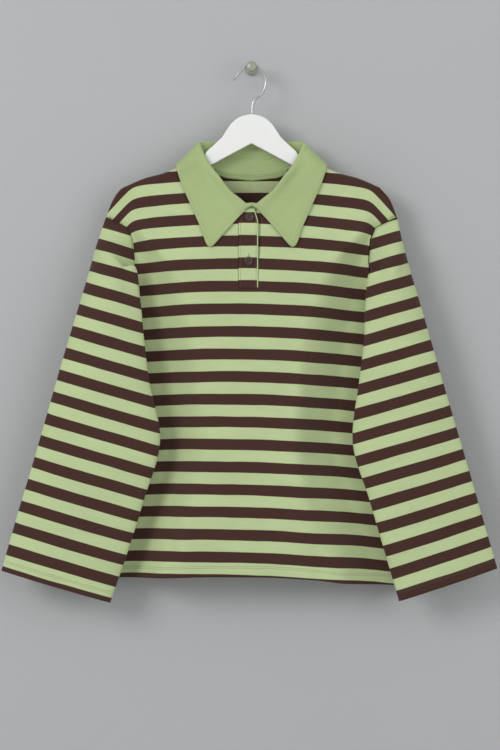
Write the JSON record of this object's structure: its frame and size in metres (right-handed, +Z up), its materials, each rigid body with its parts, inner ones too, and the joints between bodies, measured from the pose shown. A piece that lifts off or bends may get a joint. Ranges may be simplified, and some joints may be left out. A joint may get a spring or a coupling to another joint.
{
  "type": "collared sweatshirt on a wooden hanger",
  "caption": "Long-sleeved striped knit sweatshirt with a shirt collar and a half placket, hung on a flat wooden hanger from a small wall peg.",
  "frame": {"origin": "where the wire hook bears on the neck of the wall peg, in the hanger's mid plane", "axes": "+X to the viewer's right, +Y from the garment's front towards the wall, +Z up"},
  "size_m": [0.7709, 0.0878, 0.8429],
  "materials": {
    "striped_knit": "matte fine jersey knit, sage green and dark brown stripes",
    "plain_knit": "matte fine rib knit, plain sage green",
    "button": "dark brown, softly glossy",
    "white_wood": "white satin paint",
    "steel_wire": "round wire, satin",
    "peg_metal": "greenish grey satin"
  },
  "bodies": {
    "root": {"front_body": "striped_knit", "back_body": "striped_knit", "sleeve_left": "striped_knit", "sleeve_right": "striped_knit", "collar": "plain_knit", "neck_binding": "plain_knit", "placket_overlap": "striped_knit", "placket_underlap": "striped_knit", "button_upper": "button", "button_lower": "button", "hanger_body": "white_wood", "hanger_hook": "steel_wire", "wall_peg": "peg_metal"}
  },
  "joints": []
}
